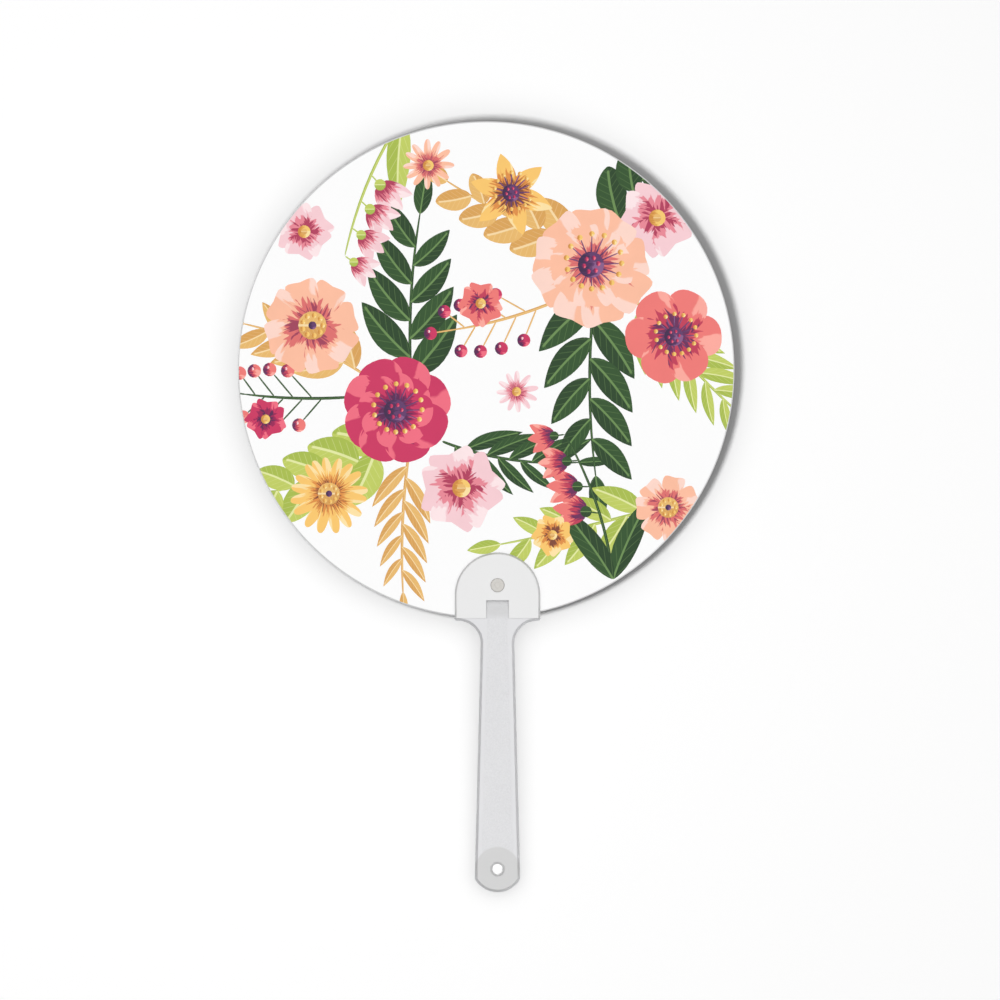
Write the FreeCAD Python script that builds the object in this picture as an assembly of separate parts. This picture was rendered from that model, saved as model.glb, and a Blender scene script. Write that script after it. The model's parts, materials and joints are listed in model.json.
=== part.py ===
"""Round uchiwa fan: two papers on a hidden rib frame, riveted into the head of a moulded handle.

Sizes are in millimetres. +Z runs up the handle, -Y is the front of the leaf, and the origin is
the middle of the grip. Heights are measured up from the handle's lower end, and rises up from
the stud's axis, in the leaf's own plane.
"""

import math
import os

import FreeCAD
import Part

# Leaf
LEAF_D = 180.0
LEAF_RISE = 78.3  # centre of the leaf above the stud
LEAF_CANT = 3.0  # degrees that the leaf sits turned, within the play of its notch
PAPER_T = 0.25
LEAF_HOLE_D = 4.8
LEAF_NOTCH_W = 9.5
LEAF_NOTCH_TOP = -5.2  # rise of the notch's closed end

# Rib frame between the papers
RIB_T = 0.8
RIB_COUNT = 31
RIB_SPREAD = 75.0  # degrees from upright to the outermost ribs
RIB_START = 8.0  # distance from the point where all ribs would meet
RIB_ROOT_W = 1.6
RIB_TIP_W = 0.9
HOOP_W = 2.4
TIE_R = 56.0
TIE_W = 1.2
HUB_R = 13.9

# Handle outline
GRIP_HEIGHT = 50.0
END_R = 9.4
END_W = 16.5
END_CORNER_R = 2.5
NECK_W = 12.2
NECK_HEIGHT = 90.2
HEAD_W = 31.5
SHOULDER_HEIGHT = 98.4
SHOULDER_R = 8.2
SHOULDER_CORNER_R = 1.2
SEAM_HEIGHT = 99.3  # where the stem's full thickness ends and the clip begins
DOME_HEIGHT = 107.7

# Handle thickness, slanted sides and trays
JAW_T = 1.4
SIDE_DRAFT = 0.95  # how far the sides lean in from the parting band to each face
PARTING_T = 0.3  # upright band round the middle of the sides
EDGE_R = 0.2
RIM_W = 2.0
TRAY_DEPTH = 0.2
TRAY_DRAFT = 0.8  # how much narrower the tray is at its floor, each side
REAR_TRAY_TOP = 90.0

# Key, the tongue that stands through the leaf
KEY_W = 8.05
KEY_TOP = 105.8
KEY_FALL = 0.3  # how far its face slopes back from the tray's floor
KEY_TIP = 1.4  # length of the steeper lead-in at its top
KEY_TIP_FALL = 0.6

# Lanyard hole and the round land about it
LANYARD_HEIGHT = 8.4
LANYARD_D = 3.8
LANYARD_CHAMFER = 0.8
LANYARD_CHAMFER_DEPTH = 1.1
LAND_R = 7.9

# Front clip
CLIP_SEAM = 0.05

# Stud, a rivet with a dimpled end
STUD_HEIGHT = 111.3
SHANK_D = 4.4
SHANK_HOLE_D = 4.5
FLANGE_D = 8.0
FLANGE_SEAT_D = 8.2
FLANGE_T = 0.7
LIP_D = 5.0
LIP_SEAT_D = 5.1
LIP_SEAT_DEPTH = 0.7
LIP_RECESS = 0.1
LIP_CHAMFER = 0.25
DIMPLE_D = 2.4
DIMPLE_FLOOR_D = 1.6
DIMPLE_DEPTH = 0.2

# Worked out from the sizes above
LEAF_R = LEAF_D / 2
RIB_MEET = LEAF_RISE - LEAF_R  # the leaf's lowest rim point, as a rise
LEAF_HALF = RIB_T / 2 + PAPER_T
HANDLE_HALF = LEAF_HALF + JAW_T
TRAY_FLOOR = HANDLE_HALF - TRAY_DEPTH
END_HALF = END_W / 2
NECK_HALF = NECK_W / 2
HEAD_HALF = HEAD_W / 2
END_CORNER = END_R - math.sqrt(END_R**2 - END_HALF**2)
NARROWING = (END_HALF - NECK_HALF) / (NECK_HEIGHT - END_CORNER)
SHOULDER_HALF = NECK_HALF - NARROWING * (SHOULDER_HEIGHT - NECK_HEIGHT)
CLIP_BOTTOM = SEAM_HEIGHT + CLIP_SEAM
SPARE = 1.0  # how far a cutter runs past the face that it opens

ALONG_Y = FreeCAD.Vector(0, 1, 0)


def point(x, height, y=0.0):
    """A point at a height above the handle's lower end."""
    return FreeCAD.Vector(x, y, height - GRIP_HEIGHT)


def leaf_point(x, rise, y=0.0):
    """A point of the leaf before it is turned, at a rise above the stud."""
    return point(x, STUD_HEIGHT + rise, y)


def line(start, end):
    return Part.LineSegment(start, end).toShape()


def arc(start, middle, end):
    return Part.Arc(start, middle, end).toShape()


def slab(face, low_y, high_y):
    """A flat face in the plane y = 0, given its thickness from low_y to high_y."""
    moved = face.translated(FreeCAD.Vector(0, low_y, 0))
    return moved.extrude(FreeCAD.Vector(0, high_y - low_y, 0))


def drum(centre, radius, low_y, high_y):
    """A round bar along Y."""
    base = FreeCAD.Vector(centre.x, low_y, centre.z)
    return Part.makeCylinder(radius, high_y - low_y, base, ALONG_Y)


def taper(centre, low_radius, high_radius, low_y, high_y):
    """A cone along Y, with its radius at each end."""
    base = FreeCAD.Vector(centre.x, low_y, centre.z)
    return Part.makeCone(low_radius, high_radius, high_y - low_y, base, ALONG_Y)


def block(half_width, low, high, low_y, high_y):
    """A box across the handle's axis, between two points' heights."""
    corner = FreeCAD.Vector(-half_width, low_y, low.z)
    return Part.makeBox(2 * half_width, high_y - low_y, high.z - low.z, corner)


def stem_half(height):
    """Half the stem's width, which narrows evenly from the end's corners to the neck."""
    return END_HALF - NARROWING * (height - END_CORNER)


def half_outline(side):
    """The handle's outline from its lower corner to the dome, on the side of +X (1) or -X (-1)."""
    corners = [
        point(side * END_HALF, END_CORNER),
        point(side * SHOULDER_HALF, SHOULDER_HEIGHT),
        point(side * HEAD_HALF, SHOULDER_HEIGHT),
        point(side * HEAD_HALF, DOME_HEIGHT),
    ]
    return [line(start, end) for start, end in zip(corners, corners[1:])]


def round_corners(plate, half_width, height, radius):
    """The plate with the corners at one height, on both sides, rounded through its thickness."""
    corners = []
    for edge in plate.Edges:
        middle = edge.CenterOfMass
        meant = point(math.copysign(half_width, middle.x), height, middle.y)
        if middle.isEqual(meant, 1e-4):
            corners.append(edge)
    return plate.makeFillet(radius, corners)


def front_edges(plate):
    """The edges round the plate's front face."""
    return [edge for edge in plate.Edges if edge.BoundBox.YMax < EDGE_R - HANDLE_HALF]


def handle_half():
    """The front half of the handle as one plate, with sides that lean in to its face."""
    dome = arc(
        point(HEAD_HALF, DOME_HEIGHT),
        point(0, DOME_HEIGHT + HEAD_HALF),
        point(-HEAD_HALF, DOME_HEIGHT),
    )
    end = arc(point(END_HALF, END_CORNER), point(0, 0), point(-END_HALF, END_CORNER))
    edges = half_outline(1) + [dome] + half_outline(-1) + [end]
    outline = Part.Wire(Part.__sortEdges__(edges))
    plate = slab(Part.Face(outline), -HANDLE_HALF, 0)
    plate = round_corners(plate, END_HALF, END_CORNER, END_CORNER_R)
    plate = round_corners(plate, SHOULDER_HALF, SHOULDER_HEIGHT, SHOULDER_R)
    plate = round_corners(plate, HEAD_HALF, SHOULDER_HEIGHT, SHOULDER_CORNER_R)
    plate = plate.makeChamfer(SIDE_DRAFT, HANDLE_HALF - PARTING_T / 2, front_edges(plate))
    return plate.makeFillet(EDGE_R, front_edges(plate))


def handle_blank():
    """The whole handle as one plate of full thickness, alike on its front and its back."""
    front = handle_half()
    back = front.mirror(FreeCAD.Vector(0, 0, 0), ALONG_Y)
    return front.fuse(back).removeSplitter()


def closed(corners):
    """A flat face with straight edges between the given corners."""
    return Part.Face(Part.makePolygon(corners + corners[:1]))


def frustum(low, high):
    """A solid with flat sides between two flat outlines that have as many corners each."""
    sides = []
    for number, corner in enumerate(low):
        after = (number + 1) % len(low)
        sides.append(closed([corner, low[after], high[after], high[number]]))
    return Part.makeSolid(Part.makeShell([closed(low), closed(high)] + sides))


def tray_corners(top, y, inset):
    """The four corners of a tray at one depth, from the lanyard hole's height to its top."""
    end = top - inset
    low_half = stem_half(LANYARD_HEIGHT) - RIM_W - inset
    top_half = stem_half(end) - RIM_W - inset
    return [
        point(-low_half, LANYARD_HEIGHT, y),
        point(low_half, LANYARD_HEIGHT, y),
        point(top_half, end, y),
        point(-top_half, end, y),
    ]


def tray(top, side):
    """The hollow of a tray, on the front (-1) or the back (1), cut short by the round land."""
    mouth = side * (HANDLE_HALF + TRAY_DEPTH)
    floor = side * TRAY_FLOOR
    hollow = frustum(tray_corners(top, floor, TRAY_DRAFT), tray_corners(top, mouth, -TRAY_DRAFT))
    hole = point(0, LANYARD_HEIGHT)
    radii = [LAND_R + TRAY_DRAFT, LAND_R - TRAY_DRAFT]
    low_y, high_y = sorted([floor, mouth])
    if side < 0:
        radii.reverse()
    return hollow.cut(taper(hole, radii[0], radii[1], low_y, high_y))


def key():
    """The tongue at the tray's top that stands through the leaf and keeps it from turning."""
    half = KEY_W / 2
    back = LEAF_HALF + JAW_T / 2
    root = SEAM_HEIGHT - SPARE
    side = [
        point(-half, root, -TRAY_FLOOR),
        point(-half, SEAM_HEIGHT, -TRAY_FLOOR),
        point(-half, KEY_TOP - KEY_TIP, KEY_FALL - TRAY_FLOOR),
        point(-half, KEY_TOP, KEY_FALL + KEY_TIP_FALL - TRAY_FLOOR),
        point(-half, KEY_TOP, back),
        point(-half, root, back),
    ]
    return closed(side).extrude(FreeCAD.Vector(KEY_W, 0, 0))


def lanyard_hole():
    """The hole through the handle's end, chamfered at both faces."""
    centre = point(0, LANYARD_HEIGHT)
    radius = LANYARD_D / 2
    mouth = radius + LANYARD_CHAMFER
    straight = HANDLE_HALF - LANYARD_CHAMFER_DEPTH
    hole = drum(centre, radius, -HANDLE_HALF - SPARE, HANDLE_HALF + SPARE)
    front = taper(centre, mouth, radius, -HANDLE_HALF, -straight)
    back = taper(centre, radius, mouth, straight, HANDLE_HALF)
    return hole.fuse([front, back])


def stud_passage():
    """The stud's hole through both jaws, with the seats of its flange and its lip."""
    centre = point(0, STUD_HEIGHT)
    hole = drum(centre, SHANK_HOLE_D / 2, -HANDLE_HALF - SPARE, HANDLE_HALF + SPARE)
    flange = drum(centre, FLANGE_SEAT_D / 2, HANDLE_HALF - FLANGE_T, HANDLE_HALF + SPARE)
    lip = drum(centre, LIP_SEAT_D / 2, -HANDLE_HALF - SPARE, LIP_SEAT_DEPTH - HANDLE_HALF)
    return hole.fuse([flange, lip])


def handle_body():
    """Stem, rear jaw and key: what is left of the plate when the leaf's and clip's room is cut."""
    blank = handle_blank()
    top = point(0, STUD_HEIGHT + HEAD_W)
    room = block(HEAD_W, point(0, SEAM_HEIGHT), top, -HEAD_W, LEAF_HALF)
    body = blank.cut([room, tray(KEY_TOP, -1), tray(REAR_TRAY_TOP, 1)])
    body = body.fuse(key())
    return body.cut([lanyard_hole(), stud_passage()]).removeSplitter()


def front_clip():
    """The front of the same plate's head, notched over the key."""
    blank = handle_blank()
    top = point(0, STUD_HEIGHT + HEAD_W)
    head = blank.common(block(HEAD_W, point(0, CLIP_BOTTOM), top, -HEAD_W, -LEAF_HALF))
    notch_top = point(0, KEY_TOP + CLIP_SEAM)
    notch = block(KEY_W / 2 + CLIP_SEAM, point(0, 0), notch_top, -HEAD_W, HEAD_W)
    return head.cut([notch, stud_passage()]).removeSplitter()


def clip_stud():
    """A rivet turned about the stud's axis: flange, shank and set lip with a dimple in its end."""
    back = HANDLE_HALF
    flange = back - FLANGE_T
    seat = LIP_SEAT_DEPTH - HANDLE_HALF
    front = LIP_RECESS - HANDLE_HALF
    flange_r = FLANGE_D / 2
    lip_r = LIP_D / 2
    profile = [
        (0, back),
        (flange_r - LIP_CHAMFER, back),
        (flange_r, back - LIP_CHAMFER),
        (flange_r, flange),
        (SHANK_D / 2, flange),
        (SHANK_D / 2, seat),
        (lip_r, seat),
        (lip_r, front + LIP_CHAMFER),
        (lip_r - LIP_CHAMFER, front),
        (DIMPLE_D / 2, front),
        (DIMPLE_FLOOR_D / 2, front + DIMPLE_DEPTH),
        (0, front + DIMPLE_DEPTH),
    ]
    corners = [point(radius, STUD_HEIGHT, y) for radius, y in profile]
    return closed(corners).revolve(point(0, STUD_HEIGHT), ALONG_Y, 360)


def leaf_cutouts():
    """What the stud and the key take out of every layer of the leaf."""
    hole = drum(leaf_point(0, 0), LEAF_HOLE_D / 2, -HEAD_W, HEAD_W)
    notch = block(LEAF_NOTCH_W / 2, point(0, 0), leaf_point(0, LEAF_NOTCH_TOP), -HEAD_W, HEAD_W)
    return [hole, notch]


def turned(layer):
    """A layer of the leaf, cut out and turned about the stud as the leaf sits in the head."""
    finished = layer.cut(leaf_cutouts()).removeSplitter()
    finished.rotate(leaf_point(0, 0), ALONG_Y, -LEAF_CANT)
    return finished


def paper(low_y):
    """One of the leaf's two round papers."""
    return turned(drum(leaf_point(0, LEAF_RISE), LEAF_R, low_y, low_y + PAPER_T))


def rib(degrees):
    """A rib that tapers from the hub to the rim, at an angle from upright.

    All ribs point away from the leaf's lowest rim point, so equal angles between them give
    equal steps round the rim.
    """
    reach = LEAF_D * math.cos(math.radians(degrees))
    corners = [
        leaf_point(-RIB_ROOT_W / 2, RIB_MEET + RIB_START),
        leaf_point(RIB_ROOT_W / 2, RIB_MEET + RIB_START),
        leaf_point(RIB_TIP_W / 2, RIB_MEET + reach),
        leaf_point(-RIB_TIP_W / 2, RIB_MEET + reach),
    ]
    bar = slab(closed(corners), -RIB_T / 2, RIB_T / 2)
    bar.rotate(leaf_point(0, RIB_MEET), ALONG_Y, degrees)
    return bar


def ring(centre, radius, width):
    """A flat ring of the rib frame, inside the given radius."""
    outer = drum(centre, radius, -RIB_T / 2, RIB_T / 2)
    return outer.cut(drum(centre, radius - width, -RIB_T, RIB_T))


def rib_frame():
    """Hub, ribs, tie arc and rim hoop, moulded in one piece."""
    middle = leaf_point(0, LEAF_RISE)
    step = 2 * RIB_SPREAD / (RIB_COUNT - 1)
    ribs = [rib(-RIB_SPREAD + step * number) for number in range(RIB_COUNT)]
    tie = ring(leaf_point(0, RIB_MEET), TIE_R + TIE_W / 2, TIE_W)
    hub = drum(point(0, DOME_HEIGHT), HUB_R, -RIB_T / 2, RIB_T / 2)
    inside = drum(middle, LEAF_R - HOOP_W / 2, -RIB_T / 2, RIB_T / 2)
    spread = hub.fuse(ribs + [tie]).common(inside)
    return turned(spread.fuse(ring(middle, LEAF_R, HOOP_W)))


def main():
    os.makedirs("parts", exist_ok=True)
    pieces = {
        "handle_body": handle_body(),
        "front_clip": front_clip(),
        "clip_stud": clip_stud(),
        "leaf_front": paper(-LEAF_HALF),
        "rib_frame": rib_frame(),
        "leaf_back": paper(LEAF_HALF - PAPER_T),
    }
    for name, shape in pieces.items():
        solid = shape.Solids[0]
        print(name, "solids", len(shape.Solids), "valid", shape.isValid(), "mm3", round(solid.Volume, 1))
        solid.exportStep(f"parts/{name}.step")


main()
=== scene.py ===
"""Looks of a round hand fan: two coated papers, a floral print and a milky moulded handle.

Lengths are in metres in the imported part's frame: +Z runs up the handle, -Y is the printed
front, and +X is to the right as seen from the front. The print alone is drawn in millimetres
from the leaf's centre, and its headings are in degrees from +X towards +Z.
"""

import json
import logging
import math
from dataclasses import dataclass, replace
from enum import Enum
from functools import cache

import bmesh
import bpy
from mathutils import Matrix, Vector
from mathutils.geometry import delaunay_2d_cdt


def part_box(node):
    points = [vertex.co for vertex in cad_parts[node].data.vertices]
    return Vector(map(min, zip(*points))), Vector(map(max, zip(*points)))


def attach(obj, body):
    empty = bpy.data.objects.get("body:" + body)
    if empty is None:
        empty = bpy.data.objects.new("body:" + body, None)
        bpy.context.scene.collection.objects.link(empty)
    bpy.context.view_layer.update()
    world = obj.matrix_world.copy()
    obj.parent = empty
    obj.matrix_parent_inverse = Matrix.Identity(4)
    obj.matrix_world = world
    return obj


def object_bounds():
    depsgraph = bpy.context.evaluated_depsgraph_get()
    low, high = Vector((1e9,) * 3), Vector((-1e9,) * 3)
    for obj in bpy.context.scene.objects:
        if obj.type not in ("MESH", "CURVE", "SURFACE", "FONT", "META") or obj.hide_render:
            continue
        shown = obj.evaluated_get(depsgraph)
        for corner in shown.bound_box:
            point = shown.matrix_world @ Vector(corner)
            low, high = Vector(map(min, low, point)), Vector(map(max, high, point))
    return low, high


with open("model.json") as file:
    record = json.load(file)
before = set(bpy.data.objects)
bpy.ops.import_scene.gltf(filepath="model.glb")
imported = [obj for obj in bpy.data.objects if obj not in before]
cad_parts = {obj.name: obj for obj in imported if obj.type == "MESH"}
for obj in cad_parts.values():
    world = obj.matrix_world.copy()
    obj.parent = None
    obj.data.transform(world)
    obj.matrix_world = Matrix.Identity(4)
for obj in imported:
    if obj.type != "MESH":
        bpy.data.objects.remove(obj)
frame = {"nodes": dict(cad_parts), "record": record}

CAD_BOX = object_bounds()
MM = 0.001
BODY = "root"
LOG = logging.getLogger("fan")

PLASTIC_IOR = 1.49
PAPER_IOR = 1.45
SPECULAR = 0.3

Colour = tuple[float, float, float, float]
Aim = tuple[float, float, float]
Spot = tuple[float, float]
Fade = tuple[float, float]


def mount(name: str) -> Vector:
    """Where one of the part's mounts is."""
    places = {entry["name"]: entry["pos_m"] for entry in frame["record"]["mounts"]}
    return Vector(places[name])


def leaf_disc() -> tuple[Vector, float]:
    """The leaf's centre, as seen from the front, and its radius.

    Returns:
        The centre's X and Z, and the radius.
    """
    low, high = (Vector(corner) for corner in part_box("leaf_front"))
    radius = (high.x - low.x) / 2
    return Vector(((high.x + low.x) / 2, high.z - radius)), radius


def srgb(red: int, green: int, blue: int) -> Colour:
    """A colour as shaders take it, from its 0 to 255 screen values.

    Args:
        red: screen value of red.
        green: screen value of green.
        blue: screen value of blue.

    Returns:
        Linear red, green and blue, and full opacity.
    """
    linear = []
    for value in (red, green, blue):
        share = value / 255
        linear.append(share / 12.92 if share <= 0.04045 else ((share + 0.055) / 1.055) ** 2.4)
    return (linear[0], linear[1], linear[2], 1.0)


class Graph:
    """A node tree, with short calls that add a node and join it up."""

    def __init__(self, tree: bpy.types.NodeTree) -> None:
        """Starts from an existing tree."""
        self.tree = tree

    def feed(self, socket: bpy.types.NodeSocket, value: object) -> None:
        """Joins a socket to another one, or sets its value.

        Args:
            socket: the input.
            value: a value, or the socket that it comes from.
        """
        if isinstance(value, bpy.types.NodeSocket):
            self.tree.links.new(value, socket)
        else:
            socket.default_value = value

    def add(self, kind: str, inputs: dict | None = None, **settings: object) -> bpy.types.Node:
        """Adds a node.

        Args:
            kind: the node's type.
            inputs: values or sockets for its inputs, by name or number.
            settings: the node's own options.

        Returns:
            The new node.
        """
        node = self.tree.nodes.new(kind)
        for name, value in settings.items():
            setattr(node, name, value)
        for name, value in (inputs or {}).items():
            self.feed(node.inputs[name], value)
        return node

    def math(self, operation: str, *values: object) -> bpy.types.NodeSocket:
        """The result of a sum on one to three values.

        Args:
            operation: the sum's name.
            values: its terms.

        Returns:
            The result.
        """
        node = self.add("ShaderNodeMath", operation=operation)
        for socket, value in zip(node.inputs, values):
            self.feed(socket, value)
        return node.outputs[0]

    def step(self, value: object, low: object, high: object) -> bpy.types.NodeSocket:
        """A smooth rise from 0 at low to 1 at high, or a fall where low is the larger.

        Args:
            value: the value.
            low: where the result is 0.
            high: where it is 1.

        Returns:
            The result.
        """
        inputs = {"Value": value, "From Min": low, "From Max": high}
        node = self.add("ShaderNodeMapRange", inputs, interpolation_type="SMOOTHSTEP")
        return node.outputs["Result"]

    def mix(self, share: object, first: object, second: object) -> bpy.types.NodeSocket:
        """A colour between two colours.

        Args:
            share: how much of the second there is, from 0 to 1.
            first: the first colour.
            second: the second colour.

        Returns:
            The colour.
        """
        node = self.add("ShaderNodeMix", data_type="RGBA")
        for number, value in ((0, share), (6, first), (7, second)):
            self.feed(node.inputs[number], value)
        return node.outputs[2]

    def noise(self, place: object, size: float, detail: float = 2.0) -> bpy.types.NodeSocket:
        """Noise of about 0.5 whose lumps have the given size in the units of the place."""
        inputs = {"Vector": place, "Scale": 1 / size, "Detail": detail}
        return self.add("ShaderNodeTexNoise", inputs).outputs[0]

    def parts(self, place: bpy.types.NodeSocket) -> bpy.types.NodeOutputs:
        """The three coordinates of a place."""
        return self.add("ShaderNodeSeparateXYZ", {0: place}).outputs

    def distance(self, x: object, z: object, spot: Spot) -> bpy.types.NodeSocket:
        """How far a place is from a spot, seen from the front.

        Args:
            x: the place's X.
            z: the place's Z.
            spot: the spot's X and Z.

        Returns:
            The distance.
        """
        aside = self.math("SUBTRACT", x, spot[0])
        above = self.math("SUBTRACT", z, spot[1])
        square = self.math("MULTIPLY_ADD", aside, aside, self.math("MULTIPLY", above, above))
        return self.math("SQRT", square)

    def stroke(self) -> tuple[bpy.types.NodeSocket, bpy.types.NodeSocket, bpy.types.NodeSocket]:
        """Where a point lies on a stroke of the print: across it, along it, and its seed.

        Returns:
            The three values.
        """
        parts = self.parts(self.add("ShaderNodeUVMap", uv_map="stroke").outputs["UV"])
        seed = self.add("ShaderNodeAttribute", attribute_name="seed").outputs["Fac"]
        return parts[0], parts[1], seed

    def group(self, tree: bpy.types.NodeTree, **inputs: object) -> bpy.types.NodeOutputs:
        """The outputs of a shared effect with its own values."""
        return self.add("ShaderNodeGroup", inputs, node_tree=tree).outputs

    def bump(self, height: object, depth: float) -> bpy.types.NodeSocket:
        """A normal bent by a height, whose full range is the given depth."""
        inputs = {"Strength": 1.0, "Distance": depth, "Height": height}
        return self.add("ShaderNodeBump", inputs).outputs[0]


class Effect:
    """Surface effects that several finishes share, each a node group that is made once."""

    @staticmethod
    def _start(
        name: str, values: dict[str, str], results: dict[str, str]
    ) -> tuple[bpy.types.NodeTree, Graph, bpy.types.Node, bpy.types.Node]:
        """A new group with its sockets.

        Args:
            name: the group's name.
            values: input names and socket types.
            results: output names and socket types.

        Returns:
            The group, its graph, its input node and its output node.
        """
        group = bpy.data.node_groups.new(name, "ShaderNodeTree")
        for direction, sockets in (("INPUT", values), ("OUTPUT", results)):
            for socket, kind in sockets.items():
                group.interface.new_socket(socket, in_out=direction, socket_type=kind)
        graph = Graph(group)
        return group, graph, graph.add("NodeGroupInput"), graph.add("NodeGroupOutput")

    @classmethod
    @cache
    def tone_drift(cls) -> bpy.types.NodeTree:
        """A slow drift of lightness, as resin and pulp have: Colour, Amount and Scale to Colour.

        Returns:
            The group.
        """
        number = "NodeSocketFloat"
        values = {"Colour": "NodeSocketColor", "Amount": number, "Scale": number}
        group, graph, given, result = cls._start("tone_drift", values, {"Colour": "NodeSocketColor"})
        place = graph.add("ShaderNodeTexCoord").outputs["Object"]
        inputs = {"Vector": place, "Scale": given.outputs["Scale"], "Detail": 3.0}
        lumps = graph.add("ShaderNodeTexNoise", inputs).outputs[0]
        swing = graph.math("MULTIPLY", graph.math("SUBTRACT", lumps, 0.5), given.outputs["Amount"])
        inputs = {"Color": given.outputs["Colour"], "Value": graph.math("ADD", swing, 1.0)}
        drifted = graph.add("ShaderNodeHueSaturation", inputs)
        graph.feed(result.inputs["Colour"], drifted.outputs[0])
        return group

    @classmethod
    @cache
    def edge_rub(cls) -> bpy.types.NodeTree:
        """Where fingers rub an edge: Radius to a Rub mask, broken up by fine noise.

        Returns:
            The group.
        """
        number = "NodeSocketFloat"
        group, graph, given, result = cls._start("edge_rub", {"Radius": number}, {"Rub": number})
        rounded = graph.add("ShaderNodeBevel", {"Radius": given.outputs["Radius"]}, samples=6)
        true = graph.add("ShaderNodeNewGeometry").outputs["Normal"]
        inputs = {0: rounded.outputs[0], 1: true}
        match = graph.add("ShaderNodeVectorMath", inputs, operation="DOT_PRODUCT").outputs["Value"]
        place = graph.add("ShaderNodeTexCoord").outputs["Object"]
        patch = graph.noise(place, 3 * MM, 4.0)
        edge = graph.step(match, 0.995, 0.90)
        graph.feed(result.inputs["Rub"], graph.math("MULTIPLY", edge, graph.step(patch, 0.35, 0.7)))
        return group

    @classmethod
    @cache
    def fibre(cls) -> bpy.types.NodeTree:
        """The fibre of coated paper, under inks too: a Height and a Roughness.

        Returns:
            The group.
        """
        number = "NodeSocketFloat"
        results = {"Height": number, "Roughness": number}
        group, graph, _, result = cls._start("paper_fibre", {}, results)
        place = graph.add("ShaderNodeTexCoord").outputs["Object"]
        lumps = graph.noise(place, 0.4 * MM, 5.0)
        graph.feed(result.inputs["Height"], lumps)
        graph.feed(result.inputs["Roughness"], graph.math("MULTIPLY_ADD", lumps, 0.15, 0.48))
        return group

    @classmethod
    @cache
    def brush_edge(cls) -> bpy.types.NodeTree:
        """A dry brush's ragged edge: a Place on a stroke, an Edge, a Swing and Hairs to a Mask.

        The mask is 1 below the edge. Hairs is how many bristle marks lie across a stroke.

        Returns:
            The group.
        """
        number = "NodeSocketFloat"
        values = {"Place": number, "Edge": number, "Swing": number, "Hairs": number}
        group, graph, given, result = cls._start("brush_edge", values, {"Mask": number})
        across, along, seed = graph.stroke()
        inputs = {0: graph.math("MULTIPLY", across, given.outputs["Hairs"])}
        inputs[1] = graph.math("MULTIPLY", along, 1.7)
        inputs[2] = graph.math("MULTIPLY", seed, 9.0)
        marks = graph.add("ShaderNodeCombineXYZ", inputs).outputs[0]
        ragged = graph.math("SUBTRACT", graph.noise(marks, 1.0, 2.5), 0.5)
        edge = graph.math("MULTIPLY_ADD", ragged, given.outputs["Swing"], given.outputs["Edge"])
        ahead = graph.math("SUBTRACT", given.outputs["Place"], edge)
        graph.feed(result.inputs["Mask"], graph.step(ahead, 0.025, -0.025))
        return group


def new_material(name: str, ior: float) -> tuple[bpy.types.Material, Graph, bpy.types.Node]:
    """A node material with only its shader, of a low gloss.

    Args:
        name: the material's name.
        ior: its index of refraction.

    Returns:
        The material, its graph and its Principled shader.
    """
    material = bpy.data.materials.new(name)
    material.use_nodes = True
    shader = material.node_tree.nodes["Principled BSDF"]
    shader.inputs["IOR"].default_value = ior
    shader.inputs["Specular IOR Level"].default_value = SPECULAR
    return material, Graph(material.node_tree), shader


@dataclass(frozen=True)
class MouldedPlastic:
    """A milky moulded plastic, smooth or grained.

    Drift is how much its lightness wanders, and grain is the height of its lumps in millimetres.
    """

    name: str
    colour: Colour
    roughness: float
    drift: float = 0.05
    grain: float = 0.01
    drift_scale: float = 60.0
    lump: float = 0.55 * MM
    rub: float = 0.3 * MM
    polish: float = 0.1
    uneven: float = 0.12

    def tone(self, graph: Graph, place: bpy.types.NodeSocket) -> object:
        """The plastic's colour at a place."""
        return self.colour

    def texture(self, graph: Graph, place: bpy.types.NodeSocket) -> bpy.types.NodeSocket:
        """The height of the moulded surface at a place, from 0 to about 1."""
        return graph.noise(place, self.lump, 3.0)

    def material(self) -> bpy.types.Material:
        """The finish as a material.

        Returns:
            The material.
        """
        material, graph, shader = new_material(self.name, PLASTIC_IOR)
        place = graph.add("ShaderNodeTexCoord").outputs["Object"]
        tone = {"Colour": self.tone(graph, place), "Amount": self.drift, "Scale": self.drift_scale}
        drift = graph.group(Effect.tone_drift(), **tone)
        rub = graph.group(Effect.edge_rub(), Radius=self.rub)
        fine = self.texture(graph, place)
        rough = graph.math("MULTIPLY_ADD", fine, self.uneven, self.roughness - self.uneven / 2)
        polish = graph.math("MULTIPLY", rub["Rub"], self.polish)
        graph.feed(shader.inputs["Base Color"], drift["Colour"])
        graph.feed(shader.inputs["Roughness"], graph.math("SUBTRACT", rough, polish))
        graph.feed(shader.inputs["Normal"], graph.bump(fine, self.grain * MM))
        return material


@dataclass(frozen=True)
class ClipPlastic(MouldedPlastic):
    """The clip's plastic, with painted shade down its sides that darkens its outline."""

    # Painted shade down the clip's sides, and the depths over which it fades in.
    painted_side_shade: Colour = srgb(206, 206, 206)
    painted_side_shade_depth: Fade = (-1.95 * MM, -1.6 * MM)

    def tone(self, graph: Graph, place: bpy.types.NodeSocket) -> object:
        """The plastic's colour at a place."""
        # Painted shade: the clip is darker down its sides.
        side = graph.step(graph.parts(place)[1], *self.painted_side_shade_depth)
        return graph.mix(side, self.colour, self.painted_side_shade)


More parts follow.
